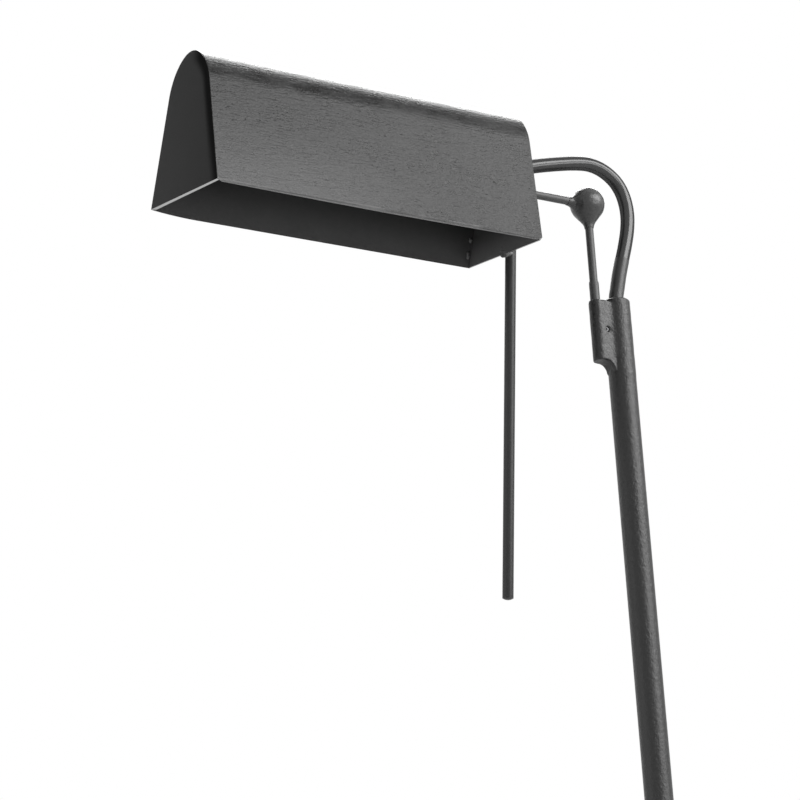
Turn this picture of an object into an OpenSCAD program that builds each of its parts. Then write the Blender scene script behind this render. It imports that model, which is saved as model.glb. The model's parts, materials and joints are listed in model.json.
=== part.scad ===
// Reading floor lamp: arched sheet shade on a swivel and tilt head, pulled round by a hanging rod.
// Millimetres, +Z up. The origin is the middle of the underside, the pole stands on +Z,
// and the shade reaches out along -X.

/* [Foot] */
// Diameter of the iron foot
foot_d = 280; // [220:5:360]
// Thickness of the iron foot at its rim
foot_t = 16; // [15:1:24]
// Rounding of the rim's upper edge
foot_edge_r = 5; // [2:0.5:6]
// Radius of the cove that leads up to the pole
hub_cove_r = 12; // [11:1:18]
// Iron left above the nut recess
hub_seat_t = 12; // [8:0.5:13]
// Thickness of the felt pad
pad_t = 3; // [2:0.5:5]
// How far the felt stays inside the rim
pad_margin = 4; // [2:1:10]

/* [Foot fixing] */
// Diameter of the hollow threaded stem
stem_d = 16; // [12:0.5:18]
// Bore of the stem, for the lead
stem_bore_d = 9; // [6:0.5:10]
// Length of the stem's plug inside the pole
plug_h = 30; // [20:1:50]
// Width across the flats of the foot nut
foot_nut_af = 24; // [22:1:30]
// Height of the foot nut
foot_nut_h = 9; // [7:0.5:10]
// Room round the washer in its recess
recess_room = 2; // [1:0.5:4]
// Outside diameter of the foot washer
foot_washer_d = 34; // [32:1:42]
// Thickness of the foot washer
foot_washer_t = 2; // [1.5:0.25:2.5]
// Stem shown past the foot nut
stem_past = 2; // [1:0.5:3]
// Wall of the trim ring at the pole's foot
collar_wall = 5; // [3:0.5:8]
// Rounding of the trim ring's upper edge
collar_round = 2.5; // [1:0.25:3]
// Height of the trim ring
collar_h = 10; // [6:1:20]
// Ledge of the hub round the trim ring
hub_ledge = 1.5; // [0.5:0.5:4]

/* [Lead inlet] */
// Hole through the rim for the inlet bush
inlet_d = 7; // [6:0.25:7.5]
// Length of that hole, from the spot face to the channel
inlet_len = 14; // [10:1:20]
// Bore of the inlet bush
inlet_bore_d = 5.2; // [4:0.2:5.4]
// Diameter of the bush's flange
inlet_flange_d = 9.6; // [9:0.2:10]
// Thickness of the bush's flange
inlet_flange_t = 1.6; // [1:0.2:2.4]
// Depth of the spot face in the rim
spot_depth = 1; // [0.6:0.1:1.6]

/* [Pole] */
// Outside diameter of the pole
pole_d = 25; // [23:0.5:30]
// Wall of the pole
pole_wall = 2; // [1.5:0.25:2.5]
// Height of the pole's top above the floor
pole_top = 1216; // [900:1:1500]
// Rounding of the pole's upper edge
pole_edge_r = 1.2; // [0.5:0.1:1.4]
// Length of the cable bush in the pole's top
bush_h = 14; // [8:1:30]

/* [Rod socket] */
// Height of the socket's round lobe
socket_h = 58.5; // [50:0.5:80]
// How far its top lies below the pole's top
socket_drop = 2.5; // [0.5:0.5:6]
// Diameter of the lobe
lobe_d = 14.4; // [13.5:0.1:18]
// Rounding of the socket's upper edge
socket_edge_r = 2; // [0.5:0.25:2]
// Iron between the pole and the lobe
socket_web = 3.3; // [2.5:0.1:8]
// Radius of the cove under the socket
socket_cove_r = 9.5; // [6:0.5:14]
// Iron left under the spigot's bore
socket_floor = 10; // [6:0.5:14]
// Diameter of the retaining screw
screw_d = 4; // [2.5:0.25:5]
// Depth of the screw below the socket's top
screw_drop = 28.5; // [20:0.5:34]
// How far the screw bites into the spigot's groove
screw_bite = 0.85; // [0.6:0.05:1.2]
// Screw past the middle of the socket
screw_past = 3.6; // [2:0.1:5]
// How deep the screw's head sits in its hole
screw_recess = 1.2; // [0.6:0.1:2]
// Thickness of the thrust disc under the spigot
thrust_t = 1.5; // [1:0.25:3]

/* [Upright] */
// Diameter of the spigot that turns in the socket
spigot_d = 9; // [8.8:0.1:10]
// Spigot shown above the socket
spigot_show = 18.5; // [10:0.5:40]
// Height of the taper at the spigot's top
spigot_taper = 1.5; // [0.5:0.25:3]
// How deep the thin rod sits in the spigot
rod_seat = 26; // [22:1:30]
// Diameter of the two thin rods
rod_d = 7.5; // [6.5:0.1:7.8]
// Ball centre above the socket's top
ball_rise = 95.5; // [80:0.5:150]

/* [Ball knuckle] */
// Diameter of the ball
ball_d = 32; // [30:0.5:40]
// Slope at which the neck to the upright leaves the ball
neck_slope = 37; // [32:1:48]
// Radius of the sweep from that neck into the upright
neck_r = 10; // [6:0.5:14]
// Slope at which the neck to the arm leaves the ball
arm_neck_slope = 50; // [44:1:56]
// Radius of the sweep from that neck into the arm
arm_neck_r = 5; // [3:0.5:8]
// Iron round each rod at the end of the neck
neck_lip = 0.45; // [0.3:0.05:1]
// Iron between the upright's end and the arm's bore
rod_wall = 2.7; // [2:0.1:4]
// Diameter of the friction slug
slug_d = 4; // [3:0.25:4.5]
// How far the slug enters the arm's groove
slug_bite = 0.9; // [0.6:0.05:1.2]
// Length of the friction slug
slug_len = 4.5; // [3:0.25:5]
// Length of the grub screw behind the slug
grub_len = 5; // [4:0.25:5.5]
// Arm past the ball's centre
arm_tail = 5.5; // [4.5:0.25:8]

/* [Arm] */
// Ball centre to the shade's near end
arm_reach = 89; // [70:0.5:160]
// Width across the flats of the arm nuts
arm_nut_af = 13; // [11:0.5:14]
// Height of each arm nut
arm_nut_h = 6; // [4:0.5:8]
// Outside diameter of the arm washers
arm_washer_d = 15; // [13:0.5:16]
// Thickness of the arm washers
arm_washer_t = 1.2; // [0.8:0.1:2]
// Arm shown past the inner nut
arm_past = 1.5; // [1:0.5:4]

/* [Shade] */
// Length of the shade
shade_l = 321.5; // [280:0.5:480]
// Width across its open underside
shade_w = 126.5; // [110:0.5:180]
// Height from the open rim to the ridge
shade_h = 129; // [115:0.5:160]
// Lean of the straight sides
side_lean = 14.4; // [8:0.2:18]
// Radius of the tighter arc along the ridge
ridge_r = 31; // [24:0.5:38]
// How far that arc turns to each side before the wider arc takes over
ridge_turn = 23; // [15:1:35]
// Thickness of the sheet iron
sheet_t = 1.5; // [1:0.1:2.5]
// Height of the arm above the rim
arm_h = 61.5; // [52:0.5:70]
// Tilt of the shade as it stands, ridge to the front
shade_tilt = 10.2; // [-20:0.1:40]

/* [Pull rod] */
// Diameter of the pull rod
pull_d = 10; // [8:0.25:12]
// How far its tip hangs below the rim
pull_drop = 311; // [200:1:400]
// Distance of its axis from the end plate at the top
pull_stand = 7.25; // [7:0.25:14]
// Lean of the rod away from the plate
pull_lean = 1.4; // [0:0.1:4]
// Height of its short leg above the rim
leg_rise = 2.5; // [0:0.25:12]
// Width of the weld round the leg
weld_w = 1.5; // [0.5:0.25:2]
// Height of the domed tip
tip_h = 1.6; // [0.6:0.1:3]

/* [Cable] */
// Diameter of the flexible cable
cable_d = 12.5; // [10:0.1:13]
// Thickness of the sleeve shrunk on its lower end
sleeve_t = 0.35; // [0.25:0.05:0.6]
// Height of the cable's entry above the arm
gland_rise = 21; // [20.5:0.25:26]
// Wall of the gland's nose
gland_wall = 2; // [1.5:0.25:3]
// Length of the gland's nose outside the plate
gland_nose = 8; // [5:0.5:10]
// Thickness of the gland's flange
gland_flange_t = 2.5; // [1.5:0.25:4]
// Width of the gland's flange past the nose
gland_flange_w = 2; // [1:0.25:2.5]
// Width across the flats of the gland's nut
gland_nut_af = 20; // [19:0.5:21]
// Height of the gland's nut
gland_nut_h = 5; // [4:0.5:8]
// Gland shown past its nut
gland_past = 1; // [0.5:0.5:2]
// Cable shown past the gland
cable_past = 2; // [1:0.5:4]

/* [Lampholder] */
// Thickness of the bracket's strip
strip_t = 2; // [1.5:0.25:3]
// Width of the bracket
strip_w = 18; // [16:1:26]
// Length of the bracket along the shade
bracket_len = 44; // [40:1:60]
// Strip left past the washer and the nut
strip_margin = 1; // [0.5:0.25:1.5]
// Bend radius inside the bracket
bend_r = 3; // [2:0.5:4]
// Depth of the bracket's floor below the arm
bracket_drop = 13; // [12:0.5:18]
// Diameter of the threaded nipple
nipple_d = 10; // [9.5:0.1:11]
// Bore of the nipple
nipple_bore_d = 7; // [6.4:0.1:7.5]
// Width across the flats of the nipple nuts
nipple_nut_af = 14; // [13.5:0.5:17]
// Height of each nipple nut
nipple_nut_h = 3; // [2:0.25:5]
// Nipple shown past its outer nut
nipple_past = 1.5; // [0.5:0.25:3]
// Nipple screwed into the lampholder's cap
nipple_grip = 10; // [7:0.5:12]
// Wall of the cap round the nipple
cap_hub_wall = 3; // [2:0.25:4]
// Outside diameter of the lampholder
holder_d = 34; // [33:0.5:40]
// Wall of the lampholder's cap and shell
holder_wall = 1.2; // [0.8:0.1:1.6]
// Thickness of the rolled bead round its mouth
bead_d = 1.8; // [1.4:0.1:2.4]
// Length of the lampholder's shell
holder_len = 44; // [40:1:60]
// Thickness of the porcelain core
core_t = 10; // [6:0.5:14]
// Diameter of the centre contact
contact_d = 7; // [5:0.5:9]
// Thickness of the centre contact
contact_t = 2; // [1:0.25:3]
// Diameter of the rivet that holds the contact
rivet_d = 3; // [2:0.25:4]
// Inside diameter of the screw shell
screw_shell_d = 26.6; // [26.4:0.1:27.4]
// Wall of the screw shell
screw_shell_wall = 0.8; // [0.5:0.1:1]
// Length of the screw shell
screw_shell_len = 27; // [22:0.5:30]

/* [Switch] */
// Diameter of the switch stem
key_stem_d = 4; // [3:0.25:4.5]
// Outside diameter of the stem's bush
key_bush_d = 8; // [7:0.25:9]
// How far the bush's shoulder stands out round its neck
key_shoulder = 1; // [0.5:0.25:1.25]
// Bush shown inside the shell's wall
key_bush_in = 1.2; // [0.6:0.1:1.4]
// Length of that bush outside the shell
key_bush_len = 6; // [4:0.5:10]
// Width of the key
key_w = 16; // [12:0.5:22]
// Length of the key
key_len = 14; // [10:0.5:18]
// Rounding of the key's corners
key_corner = 4; // [2:0.25:5]
// Thickness of the key
key_t = 4.6; // [4.6:0.1:7]

/* [Lamp] */
// Diameter of the tubular lamp
lamp_d = 30; // [27:0.5:32]
// Length of the glass past the lampholder
lamp_len = 112; // [70:1:160]
// Wall of the glass
glass_t = 1; // [0.6:0.1:1.5]
// Diameter of the lamp's cap
cap_d = 26.2; // [25.6:0.1:26.3]
// Wall of the lamp's cap
cap_wall = 0.5; // [0.4:0.1:0.8]
// Height of the cone at the cap's end
cap_cone = 4; // [2:0.5:6]
// How deep the glass sits in the cap
glass_seat = 14; // [8:0.5:16]
// Diameter of each lead inside the shade
lead_d = 2.4; // [1.5:0.1:2.6]

/* [Hidden] */

$fn = 64;
iron = [0.10, 0.10, 0.105];
paint = [0.15, 0.15, 0.155];
rubber = [0.06, 0.06, 0.06];
steel = [0.45, 0.45, 0.46];
brass = [0.72, 0.56, 0.28];
phenolic = [0.05, 0.045, 0.04];
porcelain = [0.88, 0.86, 0.82];
felt = [0.12, 0.12, 0.12];
nylon = [0.82, 0.80, 0.74];
milk_glass = [0.95, 0.94, 0.90];

// Radial clearance of every seated or running fit
fit = 0.05;
// Clearance between parts that pass each other without bearing
free = 0.3;
// How far a cutting shape runs past what it cuts
cut = 1;
// How far a rounded face lies under the face that it runs into
sink = 0.05;
// Degrees by which one arc of the shade runs on past the start of the next
fan_lap = 10;

// Levels of the foot
foot_z = pad_t + foot_t;
hub_z = foot_z + hub_cove_r;
recess_z = hub_z - hub_seat_t;
collar_d = pole_d + 2 * (fit + collar_wall);
hub_top_d = collar_d + 2 * hub_ledge;
recess_d = foot_washer_d + 2 * recess_room;
stem_end_z = recess_z - foot_washer_t - foot_nut_h - stem_past;
inlet_z = pad_t + (foot_t - foot_edge_r) / 2;
inlet_face_x = foot_d / 2 - spot_depth;
pole_bore_d = pole_d - 2 * pole_wall;

// Places of the socket, the upright and the ball
upright_x = -(pole_d / 2 + socket_web + lobe_d / 2);
socket_z = pole_top - socket_drop;
bore_floor_z = socket_z - socket_h + socket_floor;
screw_x = upright_x + spigot_d / 2 + screw_d / 2 - screw_bite;
screw_z = socket_z - screw_drop;
spigot_top_z = socket_z + spigot_show;
ball_z = socket_z + ball_rise;
neck_d = rod_d + 2 * (fit + neck_lip);
upright_end = rod_d / 2 + fit + rod_wall;
slug_tip = rod_d / 2 - slug_bite;

// Places along the shade, counted inwards from its near end's outer face
plate_x = upright_x - arm_reach;
arm_end = sheet_t + strip_t + arm_washer_t + arm_nut_h + arm_past;
gland_d = cable_d + 2 * (free + gland_wall);
gland_len = gland_nose + sheet_t + gland_nut_h + gland_past;
cable_end = sheet_t + gland_nut_h + gland_past + cable_past;
leg2_at = sheet_t + bracket_len - strip_t;
cap_at = leg2_at + strip_t + nipple_nut_h;
shell_at = cap_at + holder_d / 2;
mouth_at = shell_at + holder_len;
core_at = shell_at + free;
core_face = core_at + core_t;
nipple_from = leg2_at - nipple_nut_h - nipple_past;
nipple_len = cap_at + nipple_grip - nipple_from;
key_at = shell_at + holder_len / 2;
lamp_tip = core_face + contact_t;
cap_top = core_face + screw_shell_len;
lamp_end = mouth_at + lamp_len;

// The arch: straight sides, a wide arc at each haunch and a tighter one along the ridge, all tangent
ridge_c = shade_h - ridge_r;
haunch_more = (shade_w / 2 * cos(side_lean) - ridge_c * sin(side_lean) - ridge_r)
    / (1 - sin(side_lean + ridge_turn));
haunch_r = ridge_r + haunch_more;
haunch_c = [0, ridge_c] - haunch_more * [sin(ridge_turn), cos(ridge_turn)];

// A point of the shade, given as inward distance, width and height over the arm
function shade_point(inward, y, z) = [plate_x - inward,
    y * cos(shade_tilt) - z * sin(shade_tilt),
    ball_z + y * sin(shade_tilt) + z * cos(shade_tilt)];

// Route of the flexible cable: out of the pole, over the ball and down to the end plate
cable_rise = [[0, 0, -16], [0, 0, -6], [0.6, 0, 4], [3, 0, 14], [6.5, 0, 28], [11, 0, 43],
    [16, 0, 59], [20, 0, 75], [21.6, 0, 89], [20.5, 0, 102], [16.5, 0, 114], [8.8, 0, 124],
    [-3.5, 0, 131.4], [-18, 0, 134.3], [-34, -0.2, 132.5], [-50, -0.7, 128.9],
    [-66, -1.5, 124.6], [-82, -2.4, 119.8]];
cable_route = concat([for (p = cable_rise) p + [0, 0, pole_top]],
    [for (inward = [-13, -9, -2, cable_end]) shade_point(inward, 0, gland_rise)]);
cable_steps = 3;
cable_sides = 16;
lead_steps = 4;
lead_sides = 8;
sleeve_from = 2;
sleeve_to = 15;
cable_path = smooth_path(cable_route, cable_steps);

// Points of a curve that passes through every given point
function knot(p, i) = p[max(0, min(len(p) - 1, i))];
function along(a, b, c, d, t) = 0.5 * (2 * b + (c - a) * t
    + (2 * a - 5 * b + 4 * c - d) * t * t + (3 * b - a - 3 * c + d) * t * t * t);
function smooth_path(p, steps) = concat(
    [for (i = [0:len(p) - 2], k = [0:steps - 1])
        along(knot(p, i - 1), p[i], p[i + 1], knot(p, i + 2), k / steps)],
    [p[len(p) - 1]]);
function part_of(p, from, to) = [for (i = [from:to]) p[i]];
function heading(p, i) = knot(p, i + 1) - knot(p, i - 1);
function unit(v) = v / norm(v);

// Round tube along a path that never runs along Y
module tube(p, r, sides) {
    last = len(p) - 1;
    points = [for (i = [0:last])
        let (t = unit(heading(p, i)), s = unit(cross([0, 1, 0], t)), u = cross(t, s))
        for (j = [0:sides - 1]) p[i] + r * (cos(j * 360 / sides) * s + sin(j * 360 / sides) * u)];
    walls = [for (i = [0:last - 1], j = [0:sides - 1])
        let (a = i * sides + j, b = i * sides + (j + 1) % sides)
        each [[a, a + sides, b], [b, a + sides, b + sides]]];
    ends = [[for (j = [0:sides - 1]) j], [for (j = [sides - 1:-1:0]) last * sides + j]];
    polyhedron(points, concat(walls, ends));
}

// Frames that the pieces are placed in
module at_ball() translate([upright_x, 0, ball_z]) children();
module at_shade() translate([plate_x, 0, ball_z]) rotate([shade_tilt, 0, 0]) children();
module inward(distance) translate([-distance, 0, 0]) rotate([0, -90, 0]) children();
module on_holder() at_shade() translate([0, 0, gland_rise]) children();
module at_key() on_holder() translate([-key_at, 0, 0]) rotate([180, 0, 0]) children();

// Shapes that repeat
module ring(outer_d, inner_d, h) {
    difference() {
        cylinder(d = outer_d, h = h);
        translate([0, 0, -cut]) cylinder(d = inner_d, h = h + 2 * cut);
    }
}

module hex_nut(af, hole_d, h) {
    difference() {
        cylinder(d = af / cos(30), h = h, $fn = 6);
        translate([0, 0, -cut]) cylinder(d = hole_d, h = h + 2 * cut);
    }
}

module hex_grub(d, len, key_af, key_depth) {
    difference() {
        cylinder(d = d, h = len);
        translate([0, 0, len - key_depth]) cylinder(d = key_af / cos(30), h = key_depth + cut, $fn = 6);
    }
}

// Slice of a disc between two directions
module fan(r, from, to) {
    intersection() {
        circle(r, $fn = 192);
        polygon([[0, 0], 2 * r * [cos(from), sin(from)], 2 * r * [cos(to), sin(to)]]);
    }
}

// Arch of the shade, drawn inside its outer line by an inset and run on below the rim
module arch(inset = 0, below = 0) {
    foot = shade_w / 2 - inset / cos(side_lean) + below * tan(side_lean);
    shoulder = haunch_c + (haunch_r - inset) * [cos(side_lean), sin(side_lean)];
    crest = [0, ridge_c] + (ridge_r - inset) * [sin(ridge_turn), cos(ridge_turn)];
    polygon([[-foot, -below], [foot, -below], shoulder, crest,
        [-crest.x, crest.y], [-shoulder.x, shoulder.y]]);
    for (side = [0, 1]) mirror([side, 0]) translate(haunch_c)
        fan(haunch_r - inset + sink, side_lean - fan_lap, 90 - ridge_turn);
    translate([0, ridge_c])
        fan(ridge_r - inset + 2 * sink, 90 - ridge_turn - fan_lap, 90 + ridge_turn + fan_lap);
}

module stand_arch(from, length) {
    translate([-from - length, 0, -arm_h]) rotate([90, 0, 90]) linear_extrude(length) children();
}

// Neck from the ball down to a rod: a cone that leaves the ball and sweeps into the rod
function sweep_centre(slope, r) = [neck_d / 2 + r,
    ((neck_d / 2 + r) * cos(slope) - ball_d / 2 + sink - r) / sin(slope)];

module neck_outline(slope, r) {
    centre = sweep_centre(slope, r);
    out = [cos(slope), -sin(slope)];
    difference() {
        polygon([[0, 0], (ball_d / 2 - sink) * out, centre - r * out, centre, [0, centre.y]]);
        translate(centre) circle(r);
    }
}

// Wall of a round tube or ring, seen in section, with its upper outer edge rounded
module rounded_wall(wall, h, r) {
    square([wall, h - r]);
    square([wall - r, h]);
    translate([wall - r, h - r]) intersection() {
        circle(r);
        square(r);
    }
}

module half_disc(r) {
    intersection() {
        circle(r);
        translate([0, -r]) square([r, 2 * r]);
    }
}

// Foot
module base_plate() {
    color(iron) difference() {
        union() {
            translate([0, 0, pad_t]) rotate_extrude($fn = 160) {
                square([foot_d / 2, foot_t - foot_edge_r]);
                square([foot_d / 2 - foot_edge_r, foot_t]);
                translate([foot_d / 2 - foot_edge_r, foot_t - foot_edge_r]) circle(foot_edge_r);
            }
            translate([0, 0, foot_z]) rotate_extrude($fn = 96) difference() {
                translate([0, -cut]) square([hub_top_d / 2 + hub_cove_r, hub_cove_r + cut]);
                translate([hub_top_d / 2 + hub_cove_r, hub_cove_r]) circle(hub_cove_r);
            }
        }
        translate([0, 0, pad_t - cut]) cylinder(d = stem_d + 2 * fit, h = hub_z + cut);
        translate([0, 0, pad_t - cut]) cylinder(d = recess_d, h = recess_z - pad_t + cut);
        translate([0, -inlet_d / 2, pad_t - cut])
            cube([inlet_face_x - inlet_len, inlet_d, inlet_z + inlet_d / 2 - pad_t + cut]);
        translate([inlet_face_x - inlet_len - cut, 0, inlet_z]) rotate([0, 90, 0])
            cylinder(d = inlet_d, h = inlet_len + spot_depth + 2 * cut);
        translate([inlet_face_x, 0, inlet_z]) rotate([0, 90, 0])
            cylinder(d = inlet_flange_d + 2 * fit, h = spot_depth + cut);
    }
}

module base_pad() {
    color(felt) cylinder(d = foot_d - 2 * pad_margin, h = pad_t, $fn = 160);
}

module foot_stem() {
    color(steel) difference() {
        union() {
            translate([0, 0, stem_end_z]) cylinder(d = stem_d, h = hub_z - stem_end_z);
            translate([0, 0, hub_z]) cylinder(d = pole_bore_d - 2 * fit, h = plug_h);
        }
        translate([0, 0, stem_end_z - cut]) cylinder(d = stem_bore_d, h = hub_z + plug_h);
    }
}

module base_washer() {
    color(steel) translate([0, 0, recess_z - foot_washer_t])
        ring(foot_washer_d, stem_d + 2 * fit, foot_washer_t);
}

module base_nut() {
    color(steel) translate([0, 0, recess_z - foot_washer_t - foot_nut_h])
        hex_nut(foot_nut_af, stem_d + 2 * fit, foot_nut_h);
}

module lead_inlet_bush() {
    color(rubber) translate([inlet_face_x, 0, inlet_z]) rotate([0, 90, 0]) difference() {
        union() {
            translate([0, 0, -inlet_len]) cylinder(d = inlet_d - 2 * fit, h = inlet_len);
            cylinder(d = inlet_flange_d, h = inlet_flange_t);
        }
        translate([0, 0, -inlet_len - cut])
            cylinder(d = inlet_bore_d, h = inlet_len + inlet_flange_t + 2 * cut);
    }
}

// Pole
module pole_tube() {
    color(iron) translate([0, 0, hub_z]) rotate_extrude() translate([pole_bore_d / 2, 0])
        rounded_wall(pole_wall, pole_top - hub_z, pole_edge_r);
}

module pole_collar() {
    color(iron) translate([0, 0, hub_z]) rotate_extrude() translate([pole_d / 2 + fit, 0])
        rounded_wall(collar_wall, collar_h, collar_round);
}

module cable_bush() {
    color(rubber) translate([0, 0, pole_top - bush_h])
        ring(pole_bore_d - 2 * fit, cable_d + 2 * (fit + sleeve_t + free), bush_h);
}

// Socket that holds the upright: a lobe and web forged to the side of the pole
module lobe_outline(r) {
    translate([upright_x, 0]) circle(r);
    translate([upright_x, -r]) square([-upright_x, 2 * r]);
}

module rod_socket() {
    low = socket_z - socket_h;
    tall = socket_h + socket_cove_r;
    land_r = lobe_d / 2 - socket_edge_r;
    color(iron) difference() {
        intersection() {
            union() {
                translate([0, 0, low - socket_cove_r]) {
                    linear_extrude(tall - socket_edge_r) lobe_outline(lobe_d / 2);
                    linear_extrude(tall) lobe_outline(land_r);
                }
                translate([upright_x, 0, socket_z - socket_edge_r]) {
                    rotate(90) rotate_extrude(angle = 180) translate([land_r, 0])
                        circle(socket_edge_r - sink);
                    for (side = [-1, 1]) translate([0, side * land_r, 0]) rotate([0, 90, 0])
                        cylinder(r = socket_edge_r - sink, h = -upright_x);
                }
            }
            translate([0, lobe_d, 0]) rotate([90, 0, 0]) linear_extrude(2 * lobe_d) {
                translate([upright_x - lobe_d, low]) square([lobe_d - upright_x, socket_h]);
                difference() {
                    translate([-pole_d / 2 - socket_cove_r, low - socket_cove_r])
                        square([pole_d / 2 + socket_cove_r, socket_cove_r + cut]);
                    translate([-pole_d / 2 - socket_cove_r, low - socket_cove_r]) circle(socket_cove_r);
                }
            }
        }
        cylinder(d = pole_d + 2 * fit, h = pole_top + cut);
        translate([upright_x, 0, bore_floor_z]) cylinder(d = spigot_d + 2 * fit, h = socket_h);
        translate([screw_x, screw_past + fit, screw_z]) rotate([90, 0, 0])
            cylinder(d = screw_d + 2 * fit, h = lobe_d);
    }
}

module retaining_screw() {
    color(steel) translate([screw_x, screw_past, screw_z]) rotate([90, 0, 0])
        hex_grub(screw_d, screw_past + lobe_d / 2 - screw_recess, screw_d / 2, screw_d / 2);
}

module thrust_disc() {
    color(nylon) translate([upright_x, 0, bore_floor_z]) cylinder(d = spigot_d, h = thrust_t);
}

// Upright, which turns in the socket
module swivel_spigot() {
    foot = bore_floor_z + thrust_t;
    groove_h = screw_d + 2 * free;
    groove_d = spigot_d - 2 * (screw_bite + free);
    color(iron) translate([upright_x, 0, 0]) difference() {
        union() {
            translate([0, 0, foot]) cylinder(d = spigot_d, h = spigot_top_z - spigot_taper - foot);
            translate([0, 0, spigot_top_z - spigot_taper])
                cylinder(d1 = spigot_d, d2 = rod_d + 2 * (fit + neck_lip), h = spigot_taper);
        }
        translate([0, 0, spigot_top_z - rod_seat]) cylinder(d = rod_d + 2 * fit, h = rod_seat + cut);
        translate([0, 0, screw_z - groove_h / 2]) ring(spigot_d + cut, groove_d, groove_h);
    }
}

module upright_rod() {
    foot = spigot_top_z - rod_seat;
    color(iron) translate([upright_x, 0, foot]) cylinder(d = rod_d, h = ball_z - upright_end - foot);
}

// Ball with a swept neck to the upright and another to the arm
module ball_knuckle() {
    color(iron) at_ball() difference() {
        union() {
            rotate_extrude() {
                half_disc(ball_d / 2);
                neck_outline(neck_slope, neck_r);
            }
            rotate([0, 90, 0]) rotate_extrude() neck_outline(arm_neck_slope, arm_neck_r);
        }
        translate([0, 0, -ball_rise]) cylinder(d = rod_d + 2 * fit, h = ball_rise - upright_end);
        translate([-arm_reach, 0, 0]) rotate([0, 90, 0])
            cylinder(d = rod_d + 2 * fit, h = arm_reach + arm_tail + free);
        rotate([-90, 0, 0]) cylinder(d = slug_d + 2 * fit, h = ball_d / 2 + cut);
    }
}

module friction_slug() {
    color(nylon) at_ball() translate([0, slug_tip, 0]) rotate([-90, 0, 0])
        cylinder(d = slug_d, h = slug_len);
}

module friction_grub() {
    color(steel) at_ball() translate([0, slug_tip + slug_len, 0]) rotate([-90, 0, 0])
        hex_grub(slug_d, grub_len, slug_d / 2, slug_d / 2);
}

// Arm, which turns in the ball and carries the shade
module arm_rod() {
    groove_d = rod_d - 2 * (slug_bite + free);
    groove_w = slug_d + 2 * free;
    color(iron) at_ball() rotate([0, -90, 0]) difference() {
        translate([0, 0, -arm_tail]) cylinder(d = rod_d, h = arm_tail + arm_reach + arm_end);
        translate([0, 0, -groove_w / 2]) ring(rod_d + cut, groove_d, groove_w);
    }
}

module arm_washers() {
    color(steel) at_shade() for (at = [-arm_washer_t, sheet_t + strip_t])
        inward(at) ring(arm_washer_d, rod_d + 2 * fit, arm_washer_t);
}

module arm_nuts() {
    color(steel) at_shade() for (at = [-arm_washer_t - arm_nut_h, sheet_t + strip_t + arm_washer_t])
        inward(at) hex_nut(arm_nut_af, rod_d + 2 * fit, arm_nut_h);
}

// Shade
module shade_shell() {
    color(paint) at_shade() stand_arch(sheet_t, shade_l - 2 * sheet_t) difference() {
        arch();
        arch(sheet_t, cut);
    }
}

module end_plate_far() {
    color(paint) at_shade() stand_arch(shade_l - sheet_t, sheet_t) arch();
}

module end_plate_near() {
    color(paint) at_shade() difference() {
        stand_arch(0, sheet_t) arch();
        inward(-cut) cylinder(d = rod_d + 2 * fit, h = sheet_t + 2 * cut);
        translate([0, 0, gland_rise]) inward(-cut) cylinder(d = gland_d + 2 * fit, h = sheet_t + 2 * cut);
    }
}

// Pull rod, welded to the near end plate by a short leg
module at_pull() {
    at_shade() translate([pull_stand, 0, leg_rise - arm_h]) rotate([0, -pull_lean, 0]) children();
}

module pull_leg() {
    color(iron) difference() {
        at_shade() translate([0, 0, leg_rise - arm_h]) rotate([0, 90, 0]) {
            cylinder(d = pull_d, h = pull_stand);
            cylinder(d1 = pull_d + 2 * weld_w, d2 = pull_d, h = weld_w);
        }
        at_pull() translate([0, 0, -pull_drop]) cylinder(d = pull_d + 2 * fit, h = 2 * pull_drop);
        at_shade() translate([0, 0, leg_rise - arm_h]) rotate([0, 90, 0])
            translate([0, 0, pull_stand]) cylinder(d = 2 * pull_d, h = pull_d);
    }
}

module pull_rod() {
    r = pull_d / 2;
    tip_r = (r * r + tip_h * tip_h) / (2 * tip_h);
    length = (pull_drop + leg_rise) / cos(pull_lean);
    color(iron) at_pull() translate([0, 0, -length]) rotate_extrude() {
        translate([0, tip_h]) square([r, length + r - 2 * tip_h]);
        intersection() {
            translate([0, tip_r]) circle(tip_r, $fn = 128);
            square([r, tip_h + fit]);
        }
        intersection() {
            translate([0, length + r - tip_r]) circle(tip_r, $fn = 128);
            translate([0, length + r - tip_h - fit]) square([r, tip_h + fit]);
        }
    }
}

// Cable and its gland
module cable_gland() {
    color(phenolic) on_holder() inward(-gland_nose) difference() {
        union() {
            cylinder(d = gland_d, h = gland_len);
            translate([0, 0, gland_nose - gland_flange_t])
                cylinder(d = gland_d + 2 * gland_flange_w, h = gland_flange_t);
        }
        translate([0, 0, -cut]) cylinder(d = cable_d + 2 * free, h = gland_len + 2 * cut);
    }
}

module gland_nut() {
    color(phenolic) on_holder() inward(sheet_t) hex_nut(gland_nut_af, gland_d + 2 * fit, gland_nut_h);
}

module flex_cable() {
    color(rubber) tube(cable_path, cable_d / 2, cable_sides);
}

module cable_sleeve() {
    color(rubber) difference() {
        tube(part_of(cable_path, sleeve_from, sleeve_to), cable_d / 2 + fit + sleeve_t, cable_sides);
        tube(part_of(cable_path, sleeve_from - 1, sleeve_to + 1), cable_d / 2 + fit, cable_sides);
    }
}

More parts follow.
